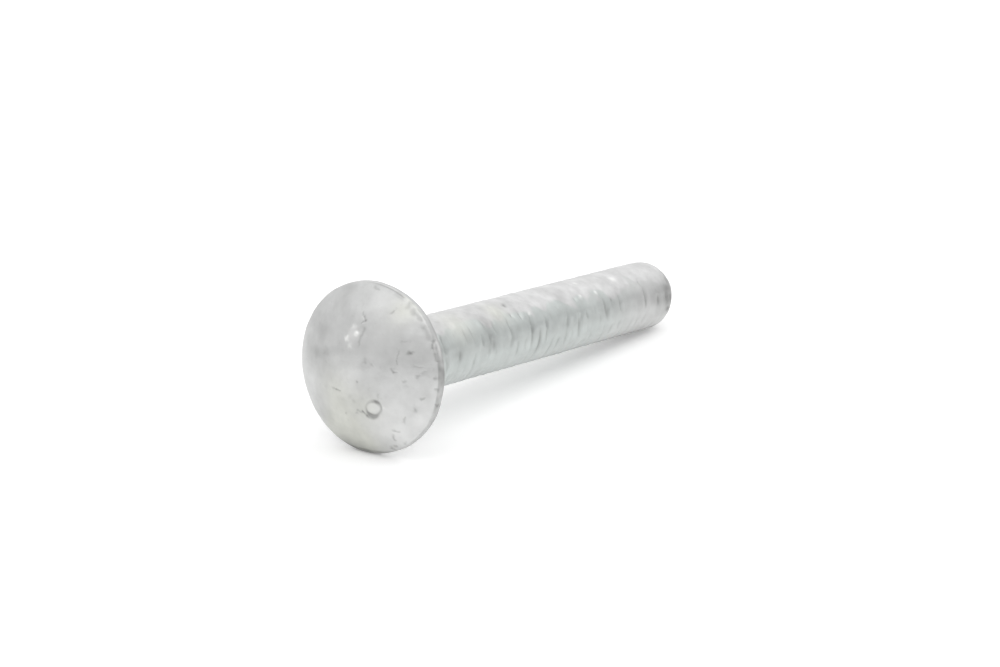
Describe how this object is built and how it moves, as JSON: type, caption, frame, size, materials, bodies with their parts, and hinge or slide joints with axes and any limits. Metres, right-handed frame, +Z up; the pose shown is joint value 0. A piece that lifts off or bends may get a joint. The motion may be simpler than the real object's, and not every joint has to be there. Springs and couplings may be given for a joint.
{
  "type": "carriage bolt",
  "caption": "Galvanised steel carriage bolt with a domed head, a square neck under it and a fully threaded shank with a blunt point, for joining timber with a nut.",
  "frame": {"origin": "on the floor, under the middle of the bolt's bounding box, as the bolt lies at rest", "axes": "+X from the head to the point, level; +Z up. The bolt's own axis is in the XZ plane and dips by 5.65 degrees towards the point, because the bolt lies on its rim and its point."},
  "size_m": [0.0686, 0.0214, 0.0215],
  "materials": {
    "zinc": "hot-dip galvanised, pale matt grey zinc with small runs and blisters"
  },
  "bodies": {
    "root": {"carriage_bolt": "zinc"}
  },
  "joints": []
}
